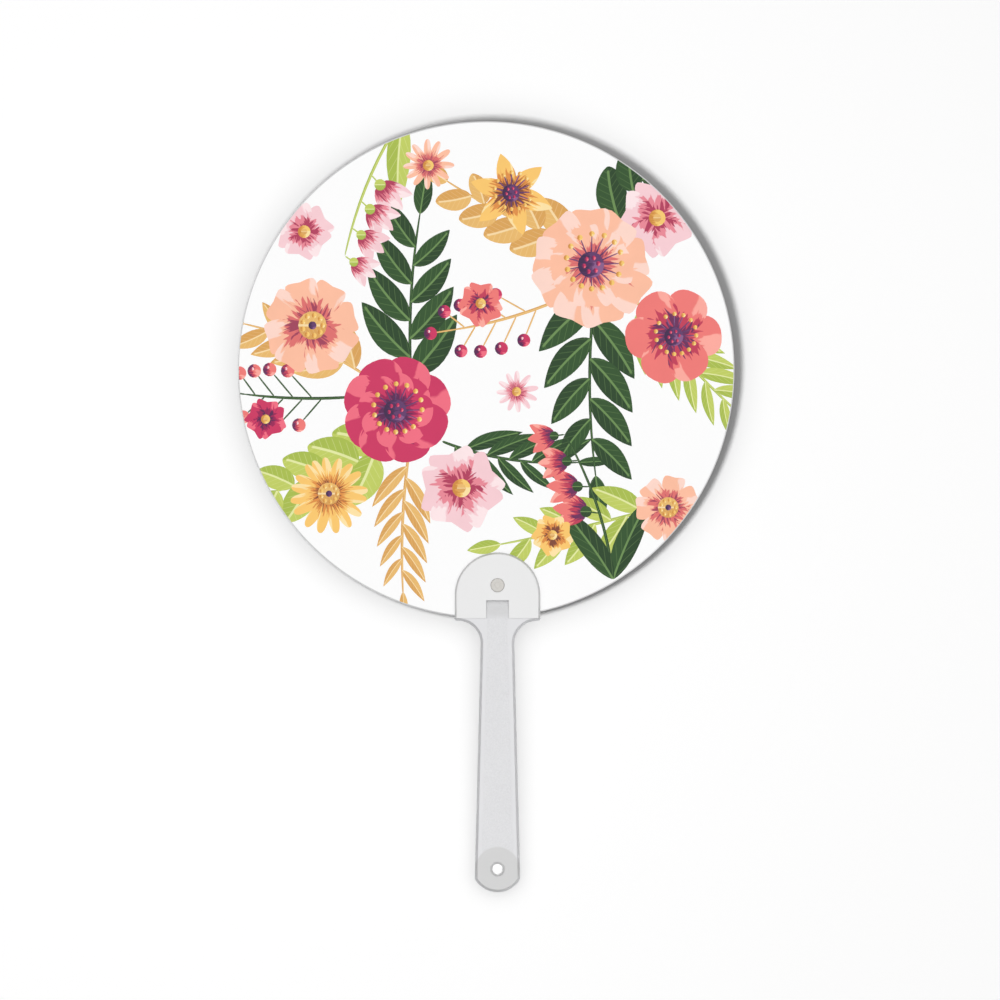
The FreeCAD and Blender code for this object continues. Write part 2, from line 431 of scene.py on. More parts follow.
@dataclass(frozen=True)
class StemPlastic(MouldedPlastic):
    """The handle's plastic: grained trays, a paler smooth rim, a darker land, and painted shade on the key.

    Depths are from the handle's middle plane, heights are the frame's, and each pair of them says
    where a change begins and where it ends.
    """

    rim_colour: Colour = srgb(226, 226, 228)
    land_colour: Colour = srgb(211, 211, 211)
    # Painted shade on the key, where it sinks under the clip's notch.
    painted_key_shade: Colour = srgb(212, 212, 213)
    floor_depth: Fade = (2.02 * MM, 1.9 * MM)
    land_height: float = mount("lanyard_hole").z
    land_radius: Fade = (8.4 * MM, 7.6 * MM)
    # Where the key's painted shade fades in, by height and by depth.
    key_shade_height: Fade = (48.4 * MM, 51.6 * MM)
    key_shade_depth: Fade = (-0.5 * MM, -0.7 * MM)
    # Random speckle on the trays' floors, partly painted shade that stands in for the fine shading of their
    # grain.
    speckle: float = 0.18
    speckle_scale: float = 2000.0
    lump: float = 0.8 * MM
    smooth_share: float = 0.1

    def floor(self, graph: Graph, place: bpy.types.NodeSocket) -> bpy.types.NodeSocket:
        """A mask of the trays' floors."""
        depth = graph.math("ABSOLUTE", graph.parts(place)[1])
        return graph.step(depth, *self.floor_depth)

    def tone(self, graph: Graph, place: bpy.types.NodeSocket) -> object:
        """The plastic's colour at a place.

        Args:
            graph: the material's graph.
            place: the place, in the part's frame.

        Returns:
            The colour.
        """
        x, y, z = graph.parts(place)
        away = graph.distance(x, z, (0.0, self.land_height))
        land = graph.step(away, *self.land_radius)
        key_shade_rise = graph.step(z, *self.key_shade_height)
        front = graph.step(y, *self.key_shade_depth)
        # Speckled floors: random tone, and partly painted shade of the fine grain.
        grain = {"Colour": self.colour, "Amount": self.speckle, "Scale": self.speckle_scale}
        floor = graph.group(Effect.tone_drift(), **grain)["Colour"]
        colour = graph.mix(self.floor(graph, place), self.rim_colour, floor)
        colour = graph.mix(land, colour, self.land_colour)
        # Painted shade: the key is darker where it sinks under the clip.
        return graph.mix(graph.math("MULTIPLY", key_shade_rise, front), colour, self.painted_key_shade)

    def texture(self, graph: Graph, place: bpy.types.NodeSocket) -> bpy.types.NodeSocket:
        """Leathery grain on the trays' floors, and next to none elsewhere.

        Args:
            graph: the material's graph.
            place: the place, in the part's frame.

        Returns:
            The height, from 0 to about 1.
        """
        lumps = graph.noise(place, self.lump, 3.0)
        floor = self.floor(graph, place)
        share = graph.math("MULTIPLY_ADD", floor, 1 - self.smooth_share, self.smooth_share)
        return graph.math("MULTIPLY", lumps, share)


@dataclass(frozen=True)
class CoatedPaper:
    """A white coated paper with a faint fibre, and painted shade along its cut rim.

    The rib frame may show through it: ridges that fan out from the spot where the ribs meet, an
    arc that ties them and a hoop along the rim. The heights of ridges and fibre are in millimetres,
    and each edge says where a change begins and where it ends.
    """

    name: str
    colour: Colour
    # rim_colour is painted shade along the cut rim.
    rim_colour: Colour
    centre: Spot
    radius: float
    ribs_meet: Spot
    rib_tilt: float
    ridge: float = 0.0
    fibre: float = 0.01
    drift: float = 0.012
    drift_scale: float = 45.0
    rim_shade_edge: Fade = (0.55 * MM, 0.3 * MM)
    rib_step: float = math.radians(5)
    rib_spread: Fade = (math.radians(76), math.radians(75.427))
    rib_edge: Fade = (1.1 * MM, 0.2 * MM)
    tie_radius: float = 56 * MM
    tie_edge: Fade = (1.2 * MM, 0.3 * MM)
    hoop_edge: Fade = (3.2 * MM, 2.4 * MM)

    def inset(self, graph: Graph, place: bpy.types.NodeSocket, edge: Fade) -> bpy.types.NodeSocket:
        """A mask of the rim, for an edge that is given by its way in from the rim.

        Args:
            graph: the material's graph.
            place: the place, in the part's frame.
            edge: where the mask is 0 and where it is 1.

        Returns:
            The mask.
        """
        x, _, z = graph.parts(place)
        away = graph.distance(x, z, self.centre)
        return graph.step(away, self.radius - edge[0], self.radius - edge[1])

    def ridges(self, graph: Graph, place: bpy.types.NodeSocket) -> bpy.types.NodeSocket:
        """The height that the rib frame gives the paper at a place.

        Args:
            graph: the material's graph.
            place: the place, in the part's frame.

        Returns:
            The height, from 0 to 1.
        """
        x, _, z = graph.parts(place)
        aside = graph.math("SUBTRACT", x, self.ribs_meet[0])
        ahead = graph.math("SUBTRACT", z, self.ribs_meet[1])
        turn = graph.math("SUBTRACT", graph.math("ARCTAN2", aside, ahead), self.rib_tilt)
        number = graph.math("MODULO", graph.math("ABSOLUTE", turn), self.rib_step)
        short = graph.math("MINIMUM", number, graph.math("SUBTRACT", self.rib_step, number))
        reach = graph.distance(x, z, self.ribs_meet)
        line = graph.step(graph.math("MULTIPLY", short, reach), *self.rib_edge)
        inside = graph.step(graph.math("ABSOLUTE", turn), *self.rib_spread)
        ribs = graph.math("MULTIPLY", line, inside)
        tie = graph.math("ABSOLUTE", graph.math("SUBTRACT", reach, self.tie_radius))
        tied = graph.math("MAXIMUM", ribs, graph.step(tie, *self.tie_edge))
        return graph.math("MAXIMUM", tied, self.inset(graph, place, self.hoop_edge))

    def material(self) -> bpy.types.Material:
        """The finish as a material.

        Returns:
            The material.
        """
        material, graph, shader = new_material(self.name, PAPER_IOR)
        place = graph.add("ShaderNodeTexCoord").outputs["Object"]
        # Painted shade: a grey band along the cut rim.
        rim = self.inset(graph, place, self.rim_shade_edge)
        tone = graph.mix(rim, self.colour, self.rim_colour)
        wander = {"Amount": self.drift, "Scale": self.drift_scale}
        drift = graph.group(Effect.tone_drift(), Colour=tone, **wander)
        fibre = graph.group(Effect.fibre())
        height = graph.math("MULTIPLY", fibre["Height"], self.fibre)
        if self.ridge:
            height = graph.math("MULTIPLY_ADD", self.ridges(graph, place), self.ridge, height)
        graph.feed(shader.inputs["Base Color"], drift["Colour"])
        graph.feed(shader.inputs["Roughness"], fibre["Roughness"])
        graph.feed(shader.inputs["Normal"], graph.bump(height, MM))
        return material


@dataclass(frozen=True)
class Brush:
    """One pass of a dry brush: where it ends on a stroke, how raggedly, and its bristle marks."""

    edge: float
    swing: float
    hairs: float

    def mask(
        self, graph: Graph, place: bpy.types.NodeSocket, edge: bpy.types.NodeSocket | None = None
    ) -> bpy.types.NodeSocket:
        """Where the pass has left its colour.

        Args:
            graph: the material's graph.
            place: how far along or across its stroke a point is.
            edge: where the pass ends, if it differs from stroke to stroke.

        Returns:
            The mask.
        """
        inputs = {"Place": place, "Edge": self.edge if edge is None else edge}
        return graph.group(Effect.brush_edge(), **inputs, Swing=self.swing, Hairs=self.hairs)["Mask"]


@dataclass(frozen=True)
class Ink:
    """A printed gouache tone: deep at a stroke's base, pale on one side towards its tip.

    Places on a stroke are shares of its length or width, and each pair of them says where a change
    begins and where it ends. A petal's pale side starts at a share that differs from petal to petal.
    """

    name: str
    throat: Colour
    deep: Colour
    plain: Colour
    light: Colour
    veined: bool = False
    shade: Brush = Brush(0.46, 0.9, 9.0)
    dark: Brush = Brush(0.3, 1.2, 15.3)
    bright: Brush = Brush(0.6, 0.7, 9.0)
    pale_side: Brush = Brush(0.08, 0.5, 2.5)
    pale_range: float = 0.55
    leaf_half: Brush = Brush(0.5, 0.22, 1.5)
    rib_edge: Fade = (0.05, 0.03)
    rib_end: Fade = (0.94, 0.9)
    vein_edge: Fade = (0.22, 0.12)
    vein_end: Fade = (0.44, 0.36)
    vein_slant: float = -0.55
    vein_waves: float = 22.0
    vein_share: float = 0.35
    fibre: float = 0.01 * MM
    drift: float = 0.1
    drift_scale: float = 120.0

    def petal_tone(self, graph: Graph) -> bpy.types.NodeSocket:
        """The ink's colour over a petal or a dot.

        Args:
            graph: the material's graph.

        Returns:
            The colour.
        """
        across, along, seed = graph.stroke()
        side = graph.math("MULTIPLY_ADD", graph.math("FRACT", seed), self.pale_range, self.pale_side.edge)
        ahead = graph.math("SUBTRACT", 1.0, self.bright.mask(graph, along))
        pale = graph.math("MULTIPLY", self.pale_side.mask(graph, across, side), ahead)
        tone = graph.mix(pale, self.plain, self.light)
        tone = graph.mix(self.shade.mask(graph, along), tone, self.deep)
        return graph.mix(self.dark.mask(graph, along), tone, self.throat)

    def leaf_tone(self, graph: Graph) -> bpy.types.NodeSocket:
        """The ink's colour over a leaf or a stem, with a pale rib and fainter veins.

        Args:
            graph: the material's graph.

        Returns:
            The colour.
        """
        across, along, _ = graph.stroke()
        aside = graph.math("ABSOLUTE", graph.math("SUBTRACT", across, 0.5))
        rib = graph.math("MULTIPLY", graph.step(aside, *self.rib_edge), graph.step(along, *self.rib_end))
        run = graph.math("MULTIPLY_ADD", aside, self.vein_slant, along)
        wave = graph.math("SINE", graph.math("MULTIPLY", run, self.vein_waves))
        line = graph.step(graph.math("ABSOLUTE", wave), *self.vein_edge)
        vein = graph.math("MULTIPLY", line, graph.step(aside, *self.vein_end))
        lines = graph.math("MAXIMUM", rib, graph.math("MULTIPLY", vein, self.vein_share))
        sides = graph.mix(self.leaf_half.mask(graph, across), self.plain, self.deep)
        return graph.mix(lines, sides, self.light)

    def material(self) -> bpy.types.Material:
        """The finish as a material.

        Returns:
            The material.
        """
        material, graph, shader = new_material(self.name, PAPER_IOR)
        tone = self.leaf_tone(graph) if self.veined else self.petal_tone(graph)
        wander = {"Amount": self.drift, "Scale": self.drift_scale}
        drift = graph.group(Effect.tone_drift(), Colour=tone, **wander)
        fibre = graph.group(Effect.fibre())
        graph.feed(shader.inputs["Base Color"], drift["Colour"])
        graph.feed(shader.inputs["Roughness"], fibre["Roughness"])
        graph.feed(shader.inputs["Normal"], graph.bump(fibre["Height"], self.fibre))
        return material


class Palette(Enum):
    """The inks of the print."""

    PEACH = Ink(
        "peach_ink", srgb(158, 66, 90), srgb(222, 112, 110), srgb(252, 190, 160), srgb(254, 216, 202)
    )
    SALMON = Ink(
        "salmon_ink", srgb(104, 44, 88), srgb(192, 62, 88), srgb(238, 122, 118), srgb(252, 170, 158)
    )
    CRIMSON = Ink(
        "crimson_ink", srgb(86, 36, 80), srgb(152, 34, 84), srgb(203, 54, 97), srgb(240, 110, 130)
    )
    PINK = Ink(
        "pink_ink", srgb(176, 62, 92), srgb(232, 136, 150), srgb(247, 206, 212), srgb(253, 230, 232)
    )
    YELLOW = Ink(
        "yellow_ink", srgb(126, 70, 52), srgb(222, 142, 70), srgb(250, 200, 110), srgb(253, 226, 166)
    )
    PLUM = Ink("plum_ink", srgb(60, 36, 72), srgb(76, 44, 86), srgb(96, 58, 104), srgb(136, 92, 138))
    GOLD = Ink("gold_ink", srgb(206, 140, 64), srgb(226, 166, 84), srgb(246, 202, 112), srgb(252, 226, 164))
    FIR = Ink(
        "fir_ink", srgb(30, 54, 30), srgb(35, 63, 33), srgb(46, 78, 40), srgb(106, 140, 82), veined=True
    )
    OCHRE = Ink(
        "ochre_ink", srgb(206, 150, 78), srgb(218, 163, 88), srgb(232, 184, 108), srgb(247, 218, 166),
        veined=True,
    )
    LIME = Ink(
        "lime_ink", srgb(150, 170, 66), srgb(168, 188, 78), srgb(192, 206, 98), srgb(228, 234, 164),
        veined=True,
    )


def sway(number: float) -> float:
    """A fixed, uneven value from -1 to 1, so that no two petals are alike."""
    return math.sin(12.9898 * number + 0.7)


def move(at: Spot, heading: float, distance: float) -> Spot:
    """The spot at a distance from another one."""
    turn = math.radians(heading)
    return (at[0] + distance * math.cos(turn), at[1] + distance * math.sin(turn))


@dataclass(frozen=True)
class Blade:
    """The outline of a petal, leaf, stem or dot along its own axis.

    The powers base and tip say how its two ends close: about 0.4 is round and 1 is pointed.
    Notch is a cut into the tip and bend is a sideways swing of it, as shares of the length.
    """

    length: float
    width: float
    base: float = 0.5
    tip: float = 0.5
    notch: float = 0.0
    bend: float = 0.0
    corners: int = 30

    def sized(self, size: float) -> "Blade":
        """A copy that is larger by a factor."""
        return replace(self, length=self.length * size, width=self.width * size)

    def outline(self) -> list[Spot]:
        """Corners as pairs of a way along the axis and a way to its left.

        Returns:
            The corners, in order.
        """
        widest = self.base / (self.base + self.tip)
        peak = widest**self.base * (1 - widest) ** self.tip
        result = []
        for number in range(self.corners):
            turn = 2 * math.pi * number / self.corners
            share = (1 - math.cos(turn)) / 2
            half = self.width / 2 * share**self.base * (1 - share) ** self.tip / peak
            side = -math.copysign(half, math.sin(turn))
            dip = self.notch * max(0.0, 1 - 1.6 * abs(math.sin(turn))) if share > 0.5 else 0.0
            result.append((self.length * (share - dip), side + self.bend * self.length * share**2))
        return result


@dataclass(frozen=True)
class Stroke:
    """One blade of one ink, laid on the leaf."""

    blade: Blade
    ink: Palette
    at: Spot
    heading: float

    def corners(self) -> list[Vector]:
        """The blade's outline on the leaf."""
        turn = Matrix.Rotation(math.radians(self.heading), 2)
        return [turn @ Vector(corner) + Vector(self.at) for corner in self.blade.outline()]

    def share(self, spot: Vector) -> Spot:
        """How far across and along the blade a spot on the leaf is, from 0 to 1.

        Args:
            spot: the spot.

        Returns:
            The two shares.
        """
        back = Matrix.Rotation(math.radians(-self.heading), 2) @ (spot - Vector(self.at))
        along = back.x / self.blade.length
        across = back.y - self.blade.bend * self.blade.length * along**2
        return (0.5 + across / self.blade.width, along)


def dot(ink: Palette, at: Spot, size: float) -> Stroke:
    """A round dot about a spot."""
    return Stroke(Blade(size, size, corners=14), ink, (at[0] - size / 2, at[1]), 0.0)


class Cut(Enum):
    """Petals of unit length."""

    COSMOS = Blade(1.0, 0.66, 0.95, 0.30, notch=0.10)
    ANEMONE = Blade(1.0, 0.86, 0.70, 0.42)
    DAISY = Blade(1.0, 0.27, 0.60, 0.42)
    PRIMROSE = Blade(1.0, 1.02, 0.90, 0.36, notch=0.20)
    LILY = Blade(1.0, 0.46, 0.75, 0.95)


class Heart(Enum):
    """What stands in the middle of a bloom."""

    STAMENS = "stamens"
    BOSS = "boss"
    EYE = "eye"


@dataclass(frozen=True)
class Bloom:
    """An open flower, seen from its front."""

    at: Spot
    size: float
    cut: Cut
    petals: int
    ink: Palette
    heart: Heart
    turn: float = 0.0
    rings: int = 1

    def petal(self, angle: float, length: float) -> Stroke:
        """A petal at an angle about the heart."""
        blade = replace(self.cut.value.sized(length), bend=0.05 * sway(angle))
        return Stroke(blade, self.ink, self.at, self.turn + angle)

    def middle(self) -> list[Stroke]:
        """The bloom's heart.

        Returns:
            Its strokes, the lowest first.
        """
        size = self.size / 2
        result = []
        if self.heart is Heart.STAMENS:
            for number in range(15):
                thread = Blade(size * (0.42 + 0.07 * sway(number)), 0.5, 0.2, 0.3, corners=8)
                result.append(Stroke(thread, Palette.PLUM, self.at, 24.0 * number + 8 * sway(number + 5)))
            for thread in result.copy():
                end = move(self.at, thread.heading, thread.blade.length)
                result.append(dot(Palette.GOLD, end, 0.07 * size + 0.35))
            result.append(dot(Palette.PLUM, self.at, 0.40 * size))
            for number in range(6):
                spot = move(self.at, 60.0 * number + 9, 0.11 * size)
                result.append(dot(Palette.CRIMSON, spot, 0.07 * size))
        elif self.heart is Heart.BOSS:
            result.append(dot(Palette.OCHRE, self.at, 0.56 * size))
            for number in range(9):
                result.append(dot(Palette.GOLD, move(self.at, 40.0 * number, 0.2 * size), 0.10 * size))
            result.append(dot(Palette.PLUM, self.at, 0.16 * size))
        else:
            result.append(dot(Palette.GOLD, self.at, 0.42 * size))
            result.append(dot(Palette.OCHRE, self.at, 0.2 * size))
        return result

    def strokes(self) -> list[Stroke]:
        """The bloom's petals and heart, the lowest first.

        Returns:
            The strokes.
        """
        result = []
        for ring in range(self.rings):
            length = self.size / 2 * (1 - 0.3 * ring)
            for number in range(self.petals):
                angle = 360 * (number + 0.5 * ring) / self.petals + 5 * sway(number + 7 * ring)
                result.append(self.petal(angle, length * (0.96 + 0.05 * sway(number + self.turn))))
        return result + self.middle()


class Foliage(Enum):
    """Leaves of unit length."""

    WILLOW = Blade(1.0, 0.26, 0.75, 1.0)
    OVAL = Blade(1.0, 0.62, 0.55, 0.65)
    LAUREL = Blade(1.0, 0.40, 0.75, 0.95)


@dataclass(frozen=True)
class Spray:
    """A bent stem with leaves on both sides and one at its end."""

    at: Spot
    heading: float
    length: float
    curl: float
    ink: Palette
    leaf: Foliage
    pairs: int
    size: float
    splay: float = 48.0

    def along(self, share: float) -> tuple[Spot, float]:
        """A spot on the stem and the stem's heading there.

        Args:
            share: how far along the stem, from 0 to 1.

        Returns:
            The spot and the heading.
        """
        ahead = move(self.at, self.heading, self.length * share)
        spot = move(ahead, self.heading + 90, self.curl * self.length * share**2)
        return spot, self.heading + math.degrees(math.atan(2 * self.curl * share))

    def stem(self) -> Stroke:
        """The stem alone."""
        blade = Blade(self.length, 1.1, 0.12, 0.3, bend=self.curl, corners=30)
        return Stroke(blade, self.ink, self.at, self.heading)

    def strokes(self) -> list[Stroke]:
        """The stem and its leaves.

        Returns:
            The strokes, the lowest first.
        """
        result = [self.stem()]
        for number in range(self.pairs):
            for side in (-1, 1):
                share = 0.14 + 0.8 * (number + 0.25 * side) / self.pairs
                spot, heading = self.along(max(0.05, share))
                blade = self.leaf.value.sized(self.size * (1 - 0.4 * share + 0.08 * sway(number * side)))
                blade = replace(blade, bend=-0.14 * side)
                result.append(Stroke(blade, self.ink, spot, heading + side * self.splay))
        spot, heading = self.along(0.97)
        result.append(Stroke(self.leaf.value.sized(0.62 * self.size), self.ink, spot, heading))
        return result


@dataclass(frozen=True)
class Berries(Spray):
    """A twig whose side twigs end in berries."""

    berry: Palette = Palette.SALMON

    def strokes(self) -> list[Stroke]:
        """The twigs, then the berries with a fleck of light on each.

        Returns:
            The strokes.
        """
        twigs = [self.stem()]
        fruit = []
        for number in range(2 * self.pairs + 1):
            side = -1 if number % 2 else 1
            spot, heading = self.along(0.25 + 0.72 * number / (2 * self.pairs))
            heading += side * self.splay if number < 2 * self.pairs else 0.0
            reach = self.size * (1.9 + 0.5 * sway(number))
            twigs.append(Stroke(Blade(reach, 0.6, 0.15, 0.2, corners=10), self.ink, spot, heading))
            end = move(spot, heading, reach + 0.35 * self.size)
            fruit.append(dot(self.berry, end, self.size))
            fruit.append(dot(Palette.PINK, move(end, 130, 0.2 * self.size), 0.22 * self.size))
        return twigs + fruit


@dataclass(frozen=True)
class Bells(Spray):
    """An arching stem with bell flowers that hang from one side."""

    bell: Palette = Palette.PEACH

    def strokes(self) -> list[Stroke]:
        """The stem, a leaf at its foot, and the bells.

        Returns:
            The strokes, the lowest first.
        """
        result = [self.stem()]
        for side in (-1, 1):
            blade = replace(self.leaf.value.sized(2.6 * self.size), bend=0.12 * side)
            result.append(Stroke(blade, self.ink, self.at, self.heading + 24 * side))
        for number in range(self.pairs):
            share = 0.45 + 0.55 * number / (self.pairs - 1)
            spot, heading = self.along(share)
            hang = heading + math.copysign(62 + 6 * sway(number), self.curl)
            size = self.size * (1.1 - 0.35 * share)
            result.append(Stroke(Blade(0.5 * size, 0.55, 0.1, 0.1, corners=8), self.ink, spot, hang))
            top = move(spot, hang, 0.4 * size)
            for lean in (-24, 24, 0):
                petal = Blade(size, 0.5 * size, 0.45, 0.8, bend=lean / 200, corners=18)
                result.append(Stroke(petal, self.bell, top, hang + lean))
            result.append(dot(self.ink, top, 0.34 * size))
        return result


@dataclass(frozen=True)
class LeafPrint:
    """The printed picture: a thin film of ink that the leaf's rim and the clip cut off.

    Its hidden side lies in a free corner of the bake map, smaller by the factor hidden_share.
    """

    film: float = 0.015 * MM
    hidden_share: float = 0.13
    bare_rim: float = 0.35
    rim_corners: int = 180
    clip_margin: float = 2.0
    motifs: tuple[Bloom | Spray, ...] = (
        Spray((-27, -8), 94, 66, -0.12, Palette.FIR, Foliage.LAUREL, 4, 27),
        Spray((-44, -2), 146, 48, 0.20, Palette.OCHRE, Foliage.LAUREL, 4, 20),
        Spray((-30, -26), 206, 62, -0.10, Palette.LIME, Foliage.OVAL, 4, 21),
        Spray((-16, -26), 338, 50, 0.24, Palette.FIR, Foliage.WILLOW, 5, 22, 42),
        Spray((-28, -30), 262, 52, 0.10, Palette.OCHRE, Foliage.WILLOW, 5, 19, 42),
        Berries((-50, -10), 184, 38, -0.10, Palette.FIR, Foliage.OVAL, 4, 5.0),
        Bloom((-63, 16), 37, Cut.COSMOS, 8, Palette.PEACH, Heart.BOSS, 12),
        Bloom((-57, -45), 29, Cut.DAISY, 17, Palette.YELLOW, Heart.BOSS, 5),
        Bloom((-9, -43), 32, Cut.PRIMROSE, 5, Palette.PINK, Heart.EYE, 30),
        Bloom((-33, -15), 42, Cut.ANEMONE, 8, Palette.CRIMSON, Heart.STAMENS, 20, rings=2),
        Spray((40, 32), 262, 72, 0.14, Palette.FIR, Foliage.LAUREL, 4, 27),
        Spray((34, 46), 164, 54, -0.16, Palette.OCHRE, Foliage.OVAL, 4, 17),
        Spray((52, 28), 306, 66, 0.12, Palette.LIME, Foliage.WILLOW, 6, 24, 42),
        Spray((44, 48), 66, 40, -0.2, Palette.FIR, Foliage.OVAL, 3, 19),
        Berries((28, 26), 204, 42, -0.14, Palette.OCHRE, Foliage.OVAL, 4, 4.8, berry=Palette.CRIMSON),
        Bloom((9, 64), 32, Cut.LILY, 6, Palette.YELLOW, Heart.STAMENS, 40),
        Bloom((68, 12), 35, Cut.ANEMONE, 6, Palette.SALMON, Heart.STAMENS, 0),
        Bloom((62, 55), 29, Cut.PRIMROSE, 5, Palette.PINK, Heart.EYE, 15),
        Bloom((38, 38), 48, Cut.COSMOS, 9, Palette.PEACH, Heart.STAMENS, 8, rings=2),
        Spray((62, -50), 196, 60, -0.05, Palette.LIME, Foliage.LAUREL, 4, 20),
        Bells((46, -76), 96, 54, 0.22, Palette.FIR, Foliage.WILLOW, 4, 13, bell=Palette.SALMON),
        Bells((-30, 92), 236, 54, 0.20, Palette.LIME, Foliage.WILLOW, 4, 13, bell=Palette.PINK),
        Bloom((66, -50), 27, Cut.COSMOS, 7, Palette.PEACH, Heart.BOSS, 24),
        Bloom((-2, 24), 18, Cut.PRIMROSE, 5, Palette.SALMON, Heart.EYE, 10),
        Bloom((11, -8), 16, Cut.DAISY, 11, Palette.PINK, Heart.EYE, 50),
        Bloom((-21, 74), 19, Cut.DAISY, 12, Palette.PEACH, Heart.EYE, 0),
        Bloom((24, -60), 17, Cut.PRIMROSE, 5, Palette.YELLOW, Heart.EYE, 8),
        Bloom((-80, -18), 16, Cut.PRIMROSE, 5, Palette.CRIMSON, Heart.EYE, 4),
        Bloom((-66, 50), 22, Cut.PRIMROSE, 5, Palette.PINK, Heart.EYE, 33),
    )

    def edges(self) -> tuple[Vector, float, list[Vector], list[Vector]]:
        """Where the print ends.

        Returns:
            The leaf's centre, its radius, the rim's corners and the clip's, in millimetres.
        """
        centre, radius = (size / MM for size in leaf_disc())
        low, high = (Vector(corner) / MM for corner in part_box("front_clip"))
        half = (high.x - low.x) / 2
        turns = [2 * math.pi * number / self.rim_corners for number in range(self.rim_corners)]
        ways = [Vector((math.cos(turn), math.sin(turn))) for turn in turns]
        rim = [way * (radius - self.bare_rim) for way in ways]
        middle = Vector((0, high.z - half)) - centre
        dome = [middle + way * half for way in ways[:self.rim_corners // 2 + 1:3]]
        foot = low.z - self.clip_margin - centre.y
        return centre, radius, rim, dome + [Vector((dome[-1].x, foot)), Vector((dome[0].x, foot))]

    def paint(self) -> tuple[bmesh.types.BMesh, list[Stroke], list[Palette]]:
        """The film's front, with the topmost stroke showing at every spot.

        Returns:
            The flat mesh, with its stroke map and seeds, the strokes, and the inks in slot order.
        """
        centre, radius, rim, clip = self.edges()
        strokes = [stroke for motif in self.motifs for stroke in motif.strokes()]
        outlines = [rim] + [stroke.corners() for stroke in strokes] + [clip]
        spots = []
        loops = []
        for outline in outlines:
            loops.append(list(range(len(spots), len(spots) + len(outline))))
            spots.extend(outline)
        spots, _, faces, _, _, owners = delaunay_2d_cdt(spots, [], loops, 1, 1e-4)
        inks = list(Palette)
        shape = bmesh.new()
        map_stroke = shape.loops.layers.uv.new("stroke")
        map_bake = shape.loops.layers.uv.new("OFBake")
        seed = shape.faces.layers.float.new("seed")
        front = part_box("leaf_front")[0][1] - self.film
        places = [Vector((centre.x + spot.x, front / MM, centre.y + spot.y)) * MM for spot in spots]
        corners = [shape.verts.new(place) for place in places]
        for face, owner in zip(faces, owners):
            top = max(owner, default=0)
            if 0 not in owner or top == 0 or len(strokes) + 1 in owner:
                continue
            stroke = strokes[top - 1]
            patch = shape.faces.new([corners[number] for number in face])
            patch.material_index = inks.index(stroke.ink)
            patch[seed] = sway(top) + top % 7
            for loop, number in zip(patch.loops, face):
                loop[map_stroke].uv = stroke.share(spots[number])
                loop[map_bake].uv = spots[number] / (2 * radius) + Vector((0.5, 0.5))
        bmesh.ops.delete(shape, geom=[spot for spot in corners if not spot.link_faces], context="VERTS")
        bmesh.ops.recalc_face_normals(shape, faces=shape.faces)
        return shape, strokes, inks

    def build(self) -> bpy.types.Object:
        """Makes the film, lays it on the paper and gives it its inks.

        Returns:
            The film.
        """
        shape, strokes, inks = self.paint()
        map_bake = shape.loops.layers.uv["OFBake"]
        front = set(shape.faces)
        if sum(face.normal.y for face in front) > 0:
            bmesh.ops.reverse_faces(shape, faces=shape.faces)
        grown = bmesh.ops.extrude_face_region(shape, geom=list(front), use_keep_orig=True)["geom"]
        back = [part for part in grown if isinstance(part, bmesh.types.BMVert)]
        bmesh.ops.translate(shape, vec=(0, self.film, 0), verts=back)
        for face in shape.faces:
            if face not in front:
                for loop in face.loops:
                    loop[map_bake].uv = loop[map_bake].uv * self.hidden_share
        mesh = bpy.data.meshes.new("leaf_print")
        bmesh.ops.recalc_face_normals(shape, faces=shape.faces)
        shape.to_mesh(mesh)
        shape.free()
        for ink in inks:
            mesh.materials.append(ink.value.material())
        piece = bpy.data.objects.new("leaf_print", mesh)
        bpy.context.scene.collection.objects.link(piece)
        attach(piece, BODY)
        LOG.info("leaf_print has %d strokes on %d faces", len(strokes), len(mesh.polygons))
        return piece


def dress(node: str, material: bpy.types.Material) -> None:
    """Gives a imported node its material.

    Args:
        node: the node's name.
        material: its material.
    """
    slots = frame["nodes"][node].data.materials
    slots.clear()
    slots.append(material)
    LOG.info("%s wears %s", node, material.name)


@dataclass
class Handle:
    """The moulded handle, its front clip and the stud that holds them together."""

    # One milky plastic in two colours: the paler clip paints light from the white paper behind it, and the
    # greyer body paints shade from behind the stem.
    body: StemPlastic = StemPlastic("handle_plastic", srgb(224, 224, 226), 0.5, 0.05, 0.25)
    clip: ClipPlastic = ClipPlastic("clip_plastic", srgb(234, 234, 234), 0.45, 0.03, 0.01)
    stud: MouldedPlastic = MouldedPlastic("stud_nylon", srgb(208, 205, 200), 0.45, 0.06, 0.01)

    def finish(self) -> None:
        """Dresses the handle's nodes."""
        dress("handle_body", self.body.material())
        dress("front_clip", self.clip.material())
        dress("clip_stud", self.stud.material())


@dataclass
class Leaf:
    """The two papers and the rib frame between them."""

    paper: Colour = srgb(253, 253, 253)
    # Painted shade along the papers' cut rim.
    rim: Colour = srgb(208, 208, 208)
    ridge: float = 0.07
    ribs: MouldedPlastic = MouldedPlastic("rib_plastic", srgb(214, 214, 214), 0.5)
    picture: LeafPrint = LeafPrint()

    def finish(self) -> None:
        """Dresses the leaf's nodes and prints its front."""
        centre, radius = leaf_disc()
        low, high = (Vector(corner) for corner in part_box("clip_stud"))
        upright = (centre - ((low + high) / 2).xz).normalized()
        meet = centre - radius * upright
        tilt = math.atan2(upright.x, upright.y)
        shared = (self.paper, self.rim, tuple(centre), radius, tuple(meet), tilt)
        dress("leaf_front", CoatedPaper("printed_paper", *shared).material())
        dress("leaf_back", CoatedPaper("back_paper", *shared, self.ridge).material())
        dress("rib_frame", self.ribs.material())
        self.picture.build()


